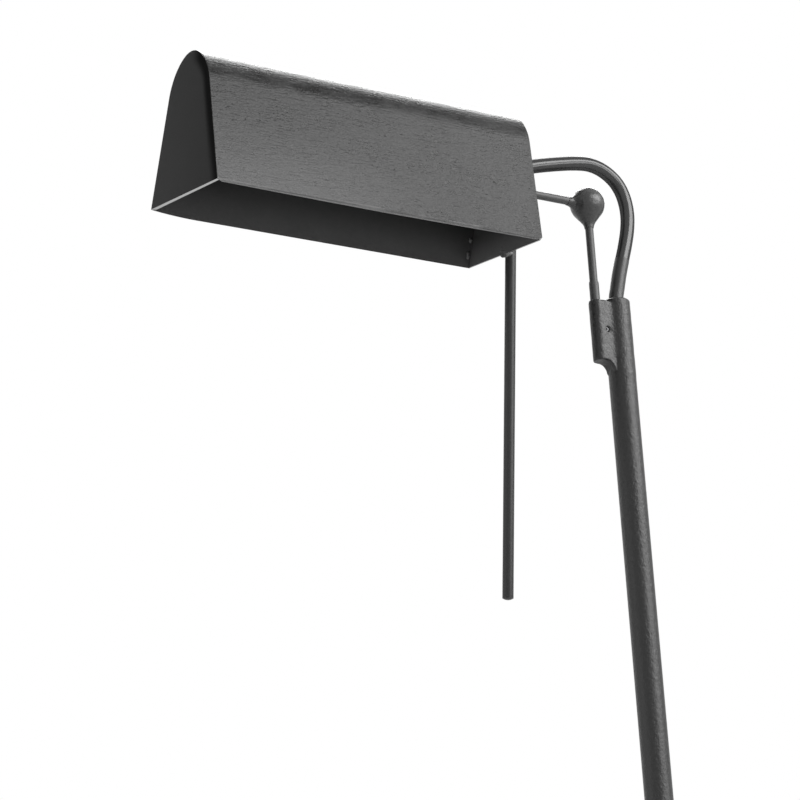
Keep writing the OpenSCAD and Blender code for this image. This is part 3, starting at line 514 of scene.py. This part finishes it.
# Two leads from the cable's end through the nipple to the lampholder's core
leads = {
    "thick": 0.0024,
    "steps": 16,
}
leadRoute = [  # inward from the end plate, to the side, and up from the lampholder's axis
    (0.0095, 0.0015, 0), (0.0119, 0.0015, 0), (0.0143, 0.0015, 0), (0.02425, 0.0039, -0.0048),
    (0.0342, 0.0015, 0), (0.0438, 0.0015, 0), (0.0658, 0.0015, 0),
]


def addLeads():
    axis = tiltAt + shadeUp * cable["glandRise"]
    for name, side in (("leadFront", -1), ("leadRear", 1)):
        knots = []
        for inward, aside, up in leadRoute:
            place = Vector((nearFace - inward, axis.y, axis.z))
            knots.append(place + shadeAcross * side * aside + shadeUp * up)
        line = smoothLine(knots, leads["steps"])
        lead = tubeAlong(name, line, leads["thick"], "lead_sheath")
        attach(lead, "shade")
        round(lengthOf(line), 4)
        if side < 0:
            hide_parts("lead_wires")


addLeads()
print("cable and leads laid")


# Shade: one sheet over the arch, a plate welded to each end and ground flush
shade = {
    "width": 0.1265,
    "height": 0.129,
    "lean": 14.4,  # degrees, of the straight sides
    "ridgeRadius": 0.031,
    "ridgeTurn": 23,  # degrees to each side
    "ridgeSteps": 10,
    "haunchSteps": 24,
    "sheet": 0.0015,
    "cornerRound": 0.0007,
    "rimRound": 0.0002,
    "rimOver": 50,  # degrees between two faces
    "rings": 64,  # cuts along its length
    "wave": 0.00012,  # depth of the sheet's waves
    "waveScale": 16,
    "stiffEnds": 0.004,  # length at each end without waves
    "edgeRings": ((0.004, 0.75), (0.012, 0.0)),  # each ring's width on a plate, how much painted shade it takes within
    "lip": 0.0044,  # how much thicker the far plate is along its foot
    "lipFront": 0.75,  # share of it at the front
    "lipTop": 0.006,
    "skew": 0.003,  # how far the near plate's foot stands out at the rear
    "skewTop": 0.05,
    "skewDepth": 0.002,  # takes in the plate's rounded edge
}
# How far the hand-cut rim rises towards its corners
rim = {
    "middle": 0.0008,
    "nearFront": 0.0018,
    "farFront": 0.0019,
    "frontCurve": 1.6,  # power of its rise to both ends
    "farRear": 0.0025,
    "farReach": 0.14,  # share of the length over which the rear edge lifts
    "nearTip": 0.0024,  # worn off the near front corner alone
    "nearTipSize": (0.012, 0.03),  # shares of the length and the width
    "farTip": 0.0011,  # lift of the far plate's foot towards the front
    "farTipLong": 0.014,
    "fades": 0.06,  # height at which nothing of it is left
}


def shadeMatrix():
    return Matrix.Translation(rimAt) @ Matrix.Rotation(shadeTilt, 4, "X")


def vertsIn(geometry):
    return [item for item in geometry if isinstance(item, bmesh.types.BMVert)]


# 0 at the front edge of the rim, 1 at the rear edge
def rearShare(place):
    return clamp(0.5 + place.y / shade["width"])


def rimRise(place):
    far = (place.x - nearFace) / (farFace - nearFace)
    rear = rearShare(place)
    frontRise = rim["middle"]
    frontRise += (rim["nearFront"] - rim["middle"]) * fade(far, 0.5) ** rim["frontCurve"]
    frontRise += (rim["farFront"] - rim["middle"]) * fade(1 - far, 0.5) ** rim["frontCurve"]
    rearRise = rim["farRear"] * fade(1 - far, rim["farReach"]) ** 2
    tipLong, tipWide = rim["nearTipSize"]
    tip = rim["nearTip"] * fade(far, tipLong) * fade(rear, tipWide)
    tip += rim["farTip"] * fade(1 - far, rim["farTipLong"]) * (1 - rear)
    rise = (1 - rear) * frontRise + rear * rearRise + tip
    return rise * fade(place.z, rim["fades"]) ** 2


def archOutline(body):
    lean, turn = math.radians(shade["lean"]), math.radians(shade["ridgeTurn"])
    ridgeRadius, half = shade["ridgeRadius"], shade["width"] / 2
    ridgeZ = shade["height"] - ridgeRadius
    more = (half * math.cos(lean) - ridgeZ * math.sin(lean) - ridgeRadius) / (1 - math.sin(lean + turn))
    haunchAt = Vector((nearFace, -more * math.sin(turn), ridgeZ - more * math.cos(turn)))
    shoulder = haunchAt + (ridgeRadius + more) * Vector((0, math.cos(lean), math.sin(lean)))
    vert = body.verts.new(shoulder)
    body.edges.new((body.verts.new((nearFace, half, 0)), vert))
    bends = [(haunchAt, math.pi / 2 - turn - lean, shade["haunchSteps"]),
             (Vector((nearFace, 0, ridgeZ)), turn, shade["ridgeSteps"])]
    for centre, angle, steps in bends:
        spun = bmesh.ops.spin(body, geom=[vert], cent=centre, axis=(1, 0, 0), angle=angle, steps=steps)
        vert = vertsIn(spun["geom_last"])[0]
    oneSide = body.verts[:] + body.edges[:]
    bmesh.ops.mirror(body, geom=oneSide, matrix=Matrix.Identity(4), merge_dist=merge["drawn"], axis="Y")
    bmesh.ops.remove_doubles(body, verts=body.verts, dist=merge["drawn"])
    return ridgeZ


def closeEnd(body, end):
    near = merge["drawn"]
    feet = [v for v in body.verts if abs(v.co.x - end) < near and abs(v.co.z) < near]
    bmesh.ops.contextual_create(body, geom=feet)
    border = [edge for edge in body.edges if all(abs(v.co.x - end) < near for v in edge.verts)]
    plate = bmesh.ops.edgeloop_fill(body, edges=border)["faces"]
    faces, paintedShade = plate[:], {}
    for width, share in shade["edgeRings"]:
        inset = bmesh.ops.inset_region(body, faces=plate, thickness=width, use_even_offset=True)
        faces += inset["faces"]
        paintedShade.update({v: share for v in plate[0].verts})
    for face in faces:
        face.material_index = 1
    return paintedShade


# The inner face of the far plate comes inwards along its foot
def thickenFoot(data):
    upright = shadeMatrix().inverted()
    for v in data.vertices:
        place = upright @ v.co
        if abs(place.x - farFace - shade["sheet"]) < shade["sheet"] / 2:
            share = shade["lipFront"] + (1 - shade["lipFront"]) * rearShare(place)
            v.co.x += shade["lip"] * share * fade(place.z, shade["lipTop"])


def addShade():
    body = bmesh.new()
    # The edge layer holds how much painted shade each end plate point takes, most at the plate's rim
    edgeLayer = body.verts.layers.float.new("edge")
    ridgeZ = archOutline(body)
    sides = bmesh.ops.extrude_edge_only(body, edges=body.edges[:])["geom"]
    bmesh.ops.translate(body, verts=vertsIn(sides), vec=(farFace - nearFace, 0, 0))
    long = [edge for edge in body.edges if edge.calc_length() > shade["width"]]
    bmesh.ops.subdivide_edges(body, edges=long, cuts=shade["rings"], use_grid_fill=True)
    paintedShade = {**closeEnd(body, nearFace), **closeEnd(body, farFace)}
    bmesh.ops.recalc_face_normals(body, faces=body.faces)
    corners = [edge for edge in body.edges
               if len(edge.link_faces) == 2 and len({face.material_index for face in edge.link_faces}) == 2]
    bmesh.ops.bevel(body, geom=corners, offset=shade["cornerRound"], offset_type="OFFSET", segments=4,
                    profile=0.5, affect="EDGES", material=-1)
    for v in body.verts:
        v[edgeLayer] = paintedShade.get(v, 1.0)
        if farFace + shade["stiffEnds"] < v.co.x < nearFace - shade["stiffEnds"]:
            sway = noise.noise(v.co * shade["waveScale"]) * shade["wave"]
            v.co += Vector((0, v.co.y, v.co.z - ridgeZ)).normalized() * sway
        v.co.z += rimRise(v.co)
        if v.co.x > nearFace - shade["skewDepth"]:
            v.co.x += shade["skew"] * rearShare(v.co) * fade(v.co.z, shade["skewTop"])
    bmesh.ops.transform(body, matrix=shadeMatrix(), verts=body.verts)
    outside, within = ["shade_iron", "plate_iron"], ["inside", "plate_inside"]
    piece = makePiece("shadeBody", body, outside + within + ["rim_iron", "worn_edge_and_glint"])
    wall = piece.modifiers.new("sheet", "SOLIDIFY")
    wall.thickness = shade["sheet"]
    wall.offset = -1
    wall.use_even_offset = True
    wall.material_offset = len(outside)
    wall.material_offset_rim = len(outside + within)
    bakeModifiers(piece)
    thickenFoot(piece.data)
    edge = piece.modifiers.new("rim", "BEVEL")
    edge.width = shade["rimRound"]
    edge.segments = 2
    edge.limit_method = "ANGLE"
    edge.angle_limit = math.radians(shade["rimOver"])
    piece.modifiers.new("flats", "WEIGHTED_NORMAL").keep_sharp = True
    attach(piece, "shade")
    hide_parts("shade_shell", "end_plate_far", "end_plate_near")


addShade()


# Tack welds in the inner corners between the sheet and its end plates
tacks = {
    "radius": 0.0021,
    "flat": (0.8, 0.7),  # along and across the shade
    "beads": ((0.011, 1.9), (0.024, 1.2)),  # height above the rim, how much taller than round
    "fromFace": 1.3,  # sheet thicknesses
    "offSheet": 0.0004,
    "lumpy": 0.0007,
    "lumpScale": 420,
}


def addTacks():
    welds = bmesh.new()
    lean = math.radians(shade["lean"])
    wall = shade["sheet"] / math.cos(lean)
    for end, inward in ((nearFace, -1), (farFace, 1)):
        for side in (-1, 1):
            for height, tall in tacks["beads"]:
                wide = shade["width"] / 2 - height * math.tan(lean) - wall - tacks["offSheet"]
                place = Vector((end + inward * shade["sheet"] * tacks["fromFace"], side * wide, height))
                stretch = Matrix.Diagonal((*tacks["flat"], tall, 1))
                bead = bmesh.ops.create_icosphere(welds, subdivisions=3, radius=tacks["radius"],
                                                  matrix=Matrix.Translation(place) @ stretch)
                for v in bead["verts"]:
                    lump = noise.noise(v.co * tacks["lumpScale"]) * tacks["lumpy"] / tacks["radius"]
                    v.co += (v.co - place) * lump
    bmesh.ops.transform(welds, matrix=shadeMatrix(), verts=welds.verts)
    piece = makePiece("shadeTacks", welds, ["weld_iron"], smoothUnder=60)
    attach(piece, "shade")


addTacks()


# Leg of the pull rod, drawn out into its weld under the rim
leg = {
    "atPlate": 0.86,  # share of its height that is left
    "atRod": 1.12,
    "lumpy": 0.0003,
    "lumpScale": 500,
}


def addLeg():
    low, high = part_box("pull_leg")
    weld = bmesh.new()
    weld.from_mesh(nodes["pull_leg"].data)
    bmesh.ops.remove_doubles(weld, verts=weld.verts, dist=merge["cad"])
    bmesh.ops.subdivide_edges(weld, edges=weld.edges, cuts=2, use_grid_fill=True)
    for v in weld.verts:
        outward = (v.co.x - low.x) / (high.x - low.x)
        left = leg["atPlate"] + (leg["atRod"] - leg["atPlate"]) * outward
        v.co.z = high.z - (high.z - v.co.z) * left
        v.co += v.normal * leg["lumpy"] * noise.noise(v.co * leg["lumpScale"])
    piece = makePiece("pullLegWeld", weld, ["weld_iron"], smoothUnder=50)
    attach(piece, "shade")
    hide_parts("pull_leg")


addLeg()
print("shade made")


# Forged pieces: the solid is fused into one skin, softened, and marked by the hammer
def relax(mesh, verts, passes):
    axes = {"use_axis_x": True, "use_axis_y": True, "use_axis_z": True}
    for _ in range(passes):
        bmesh.ops.smooth_vert(mesh, verts=verts, factor=0.5, **axes)


def turnOutline(points, centre, axis, steps):
    solid = bmesh.new()
    ring = [solid.verts.new(point) for point in points]
    for a, b in zip(ring, ring[1:] + ring[:1]):
        solid.edges.new((a, b))
    bmesh.ops.spin(solid, geom=solid.verts[:] + solid.edges[:], cent=centre, axis=axis,
                   angle=math.tau, steps=steps, use_merge=True)
    bmesh.ops.remove_doubles(solid, verts=solid.verts, dist=merge["turned"])
    bmesh.ops.recalc_face_normals(solid, faces=solid.faces)
    return solid


def forgedSkin(name, nodeName, added, finishName, look):
    extra = storeMesh(name + "Added", added)
    mesh = bmesh.new()
    mesh.from_mesh(nodes[nodeName].data)
    mesh.from_mesh(extra)
    bpy.data.meshes.remove(extra)
    bmesh.ops.remove_doubles(mesh, verts=mesh.verts, dist=merge["cad"])
    piece = makePiece(name, mesh, [finishName])
    fuse = piece.modifiers.new("fuse", "REMESH")
    fuse.mode = "VOXEL"
    fuse.voxel_size = look["voxel"]
    bakeModifiers(piece)
    mesh = bmesh.new()
    mesh.from_mesh(piece.data)
    relax(mesh, mesh.verts, look["passes"])
    return piece, mesh


def finishSkin(piece, mesh):
    mesh.to_mesh(piece.data)
    mesh.free()
    piece.data.polygons.foreach_set("use_smooth", [True] * len(piece.data.polygons))


ball = {
    "radius": 0.016,
    "voxel": 0.0005,
    "passes": 6,
    "dent": 0.0003,  # depth of the hammer marks
    "dentSize": 0.0048,
    "pit": 0.00008,
    "pitSize": 0.0018,
    "skinFrom": 0.8,  # shares of the radius, with no marks nearer the centre
    "skinRun": 0.15,
    "bore": 0.0038,
    "sweepStart": 0.007,  # from the ball's centre
    "sweepRound": 0.013,  # of the fillet under the arm
    "sweepLip": 0.0005,
    "sweepSteps": 16,
    "turnSteps": 48,
}


# The fillet under the arm, run out to nothing above it
def armSweep():
    bore, curve, steps = ball["bore"], ball["sweepRound"], ball["sweepSteps"]
    out = bore + ball["sweepLip"] + curve
    along = math.sqrt((ball["radius"] + curve) ** 2 - out ** 2)
    first = math.atan2(out, along)
    outline = [(ball["sweepStart"], bore)]
    for k in range(steps + 1):
        angle = first + (math.pi / 2 - first) * k / steps
        outline.append((along - curve * math.cos(angle), out - curve * math.sin(angle)))
    outline.append((along, bore))
    points = [(tiltAt.x - x, tiltAt.y, tiltAt.z - r) for x, r in outline]
    sweep = turnOutline(points, tiltAt, (1, 0, 0), ball["turnSteps"])
    for v in sweep.verts:
        aside = Vector((0, v.co.y - tiltAt.y, v.co.z - tiltAt.z))
        below = 0.5 - 0.5 * aside.z / aside.length
        reach = bore + (aside.length - bore) * below
        v.co += aside * (reach / aside.length - 1)
    return sweep


def addBall():
    piece, mesh = forgedSkin("ballForging", "ball_knuckle", armSweep(), "ball_iron", ball)
    mesh.normal_update()
    for v in mesh.verts:
        out = (v.co - tiltAt).length / ball["radius"]
        skin = clamp((out - ball["skinFrom"]) / ball["skinRun"])
        near = noise.voronoi(v.co / ball["dentSize"])[0][0]
        push = -ball["dent"] * (0.5 - near) * skin
        push += ball["pit"] * noise.noise(v.co / ball["pitSize"]) * skin
        v.co += v.normal * push
    finishSkin(piece, mesh)
    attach(piece, "upright")
    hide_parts("ball_knuckle")


addBall()


socket = {
    "voxel": 0.0006,
    "skin": 0.00012,  # how far the forging stands proud of the pole
    "skinIn": 0.0014,  # how far it reaches into the pole's wall
    "skinTop": 0.0002,  # above the pole's top
    "skinLow": 0.1,  # below the pole's top
    "skinFoot": 0.0005,  # how far its lower end lies under the pole's face
    "skinRun": 0.025,  # length over which it comes out
    "skinBevel": 0.0008,
    "turnSteps": 96,
    "passes": 4,
    "covePasses": 7,  # more softening where the socket runs out into the pole
    "coveTop": 0.05,  # below the pole's top
    "valleyPasses": 110,  # and where it lies along the pole
    "valley": (-0.0175, -0.003),
    "valleyMore": (0.002, 0.004),  # to its left and right, softened as the cove is
    "valleyEnds": (0.058, 0.004),  # below the pole's top
    "lump": 0.00016,
    "lumpSize": 0.008,
    "topWave": 0.0006,
    "topWaveSize": 0.007,
    "rodClear": 0.0055,  # from the swivel's axis, with no marks nearer to it
    "rodRun": 0.0015,
    "inset": 0.001,  # by which the lobe's outer side is worn back
    "insetFrom": 0.6,  # of the pole's radius
    "insetRun": 0.008,
}


def poleSkin():
    low, top = poleTop - socket["skinLow"], poleTop + socket["skinTop"]
    bore, outer = poleRadius - socket["skinIn"], poleRadius + socket["skin"]
    foot, bevel = poleRadius - socket["skinFoot"], socket["skinBevel"]
    outline = [(bore, low), (foot, low), (outer, low + socket["skinRun"]), (outer, top - bevel),
               (outer - bevel, top), (bore, top)]
    return turnOutline([(x, 0, z) for x, z in outline], (0, 0, 0), (0, 0, 1), socket["turnSteps"])


def addSocket():
    piece, mesh = forgedSkin("socketForging", "rod_socket", poleSkin(), "pole_iron", socket)
    cove = [v for v in mesh.verts if v.co.z < poleTop - socket["coveTop"] and v.co.x < -poleRadius / 2]
    relax(mesh, cove, socket["covePasses"])
    left, right = socket["valley"]
    moreLeft, moreRight = socket["valleyMore"]
    low, high = (poleTop - depth for depth in socket["valleyEnds"])
    beside = [v for v in mesh.verts if low < v.co.z < high]
    relax(mesh, [v for v in beside if left < v.co.x < right], socket["valleyPasses"])
    wider = [v for v in beside if left - moreLeft < v.co.x < right + moreRight]
    relax(mesh, wider, socket["covePasses"])
    mesh.normal_update()
    for v in mesh.verts:
        fromRod = math.hypot(v.co.x - swivelAt.x, v.co.y)
        free = clamp((fromRod - socket["rodClear"]) / socket["rodRun"])
        v.co += v.normal * socket["lump"] * noise.noise(v.co / socket["lumpSize"]) * free
        outward = clamp((-v.co.x - socket["insetFrom"] * poleRadius) / socket["insetRun"])
        v.co.x += socket["inset"] * free * outward
        if v.normal.z > 0.5:
            v.co.z += socket["topWave"] * noise.noise(v.co / socket["topWaveSize"]) * free
    finishSkin(piece, mesh)
    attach(piece, "stand")
    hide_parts("rod_socket")


addSocket()
print("forgings made")


# Felt under the foot
pad = {
    "round": 0.0009,
    "flat": 1,  # degrees, up to which CAD triangles are one face
    "over": 40,  # degrees, from which an edge is rounded
    "fuzz": 0.0002,
    "fuzzScale": 300,
}


def addPad():
    felt = bmesh.new()
    felt.from_mesh(nodes["base_pad"].data)
    bmesh.ops.remove_doubles(felt, verts=felt.verts, dist=merge["cad"])
    flat, over = math.radians(pad["flat"]), math.radians(pad["over"])
    bmesh.ops.dissolve_limit(felt, angle_limit=flat, verts=felt.verts, edges=felt.edges)
    sharp = [edge for edge in felt.edges if edge.is_manifold and edge.calc_face_angle() > over]
    bmesh.ops.bevel(felt, geom=sharp, offset=pad["round"], offset_type="OFFSET", segments=3, profile=0.5,
                    affect="EDGES", material=-1)
    for v in felt.verts:
        v.co += v.normal * pad["fuzz"] * noise.noise(v.co * pad["fuzzScale"])
        v.co.z = max(0.0, v.co.z)
    piece = makePiece("feltPad", felt, ["felt"], smoothUnder=50)
    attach(piece, "stand")
    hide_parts("base_pad")


addPad()


# Machined pieces lose their knife edges
crisp = {
    "width": 0.00025,
    "segments": 2,
    "over": 40,  # degrees between two faces
    "nodes": ("arm_nuts", "arm_washers", "gland_nut", "cable_gland", "nipple_nuts", "base_nut",
              "base_washer", "holder_bracket", "switch_bush", "pole_collar", "lead_inlet_bush"),
}


def addRounding():
    for name in crisp["nodes"]:
        weld = nodes[name].modifiers.new("weld", "WELD")
        weld.merge_threshold = merge["cad"]
        edge = nodes[name].modifiers.new("edges", "BEVEL")
        edge.width = crisp["width"]
        edge.segments = crisp["segments"]
        edge.limit_method = "ANGLE"
        edge.angle_limit = math.radians(crisp["over"])
        nodes[name].modifiers.new("flats", "WEIGHTED_NORMAL")


addRounding()
print("felt and edges made")


# Floor and studio light
studio = {
    "floor": 0.8,
    "floorGlow": 0.6,
    "floorSize": 4.0,
    "floorSides": 96,
    "ambient": 0.2,
    "key": {"place": (1.6, -2.5, 2.95), "aim": (-0.1, 0, 1.3), "size": (3.3, 1.45), "watts": 132},
    "low": {"place": (1.7, -2.88, 1.45), "aim": (-0.1, 0, 1.3), "size": (2.8, 0.85), "watts": 42},
    "top": {"place": (0.8, 1.35, 3.0), "aim": (-0.27, 0, 1.4), "size": (1.3, 1.8), "watts": 52},
    "fill": {"place": (-2.6, 0.3, 1.3), "aim": (0, 0, 1.2), "size": (1.8, 1.8), "watts": 7},
}


def addLight(name):
    look = studio[name]
    lamp = bpy.data.lights.new(name, "AREA")
    lamp.shape = "RECTANGLE"
    lamp.size, lamp.size_y = look["size"]
    lamp.energy = look["watts"]
    light = bpy.data.objects.new(name, lamp)
    aim = Vector(look["aim"]) - Vector(look["place"])
    turn = aim.to_track_quat("-Z", "Y").to_matrix().to_4x4()
    light.matrix_world = Matrix.Translation(look["place"]) @ turn
    scene.collection.objects.link(light)


def seenDirectly(graph):
    camera, glossy, through = (
        graph.node("LightPath", output=name)
        for name in ("Is Camera Ray", "Is Glossy Ray", "Is Transmission Ray")
    )
    return graph.node("Math", {"operation": "ADD", "use_clamp": True}, {0: camera + glossy, 1: through})


def addSky():
    world = bpy.data.worlds.new("studio")
    scene.world = world
    world.use_nodes = True
    air = Graph(world.node_tree)
    colour = air.mix(seenDirectly(air), grey(studio["ambient"]), grey(1))
    sky = air.node("Background", None, {"Color": colour, "Strength": 1})
    air.node("OutputWorld", None, {"Surface": sky})


def addFloor():
    mesh = bmesh.new()
    sides, size = studio["floorSides"], studio["floorSize"]
    bmesh.ops.create_circle(mesh, cap_ends=True, segments=sides, radius=size)
    data = storeMesh("floor", mesh)
    floor = bpy.data.objects.new("floor", data)
    scene.collection.objects.link(floor)
    finish = Finish("paleFloor")
    paint = finish.node("BsdfDiffuse", None, {"Color": grey(studio["floor"])})
    glow = finish.node("Emission", None, {"Color": grey(1), "Strength": 1})
    share = seenDirectly(finish) * studio["floorGlow"]
    both = finish.node("MixShader", None, {0: share, 1: paint, 2: glow})
    data.materials.append(finish.close(both))


for lightName in ("key", "low", "top", "fill"):
    addLight(lightName)
addSky()
addFloor()
print("studio lit")
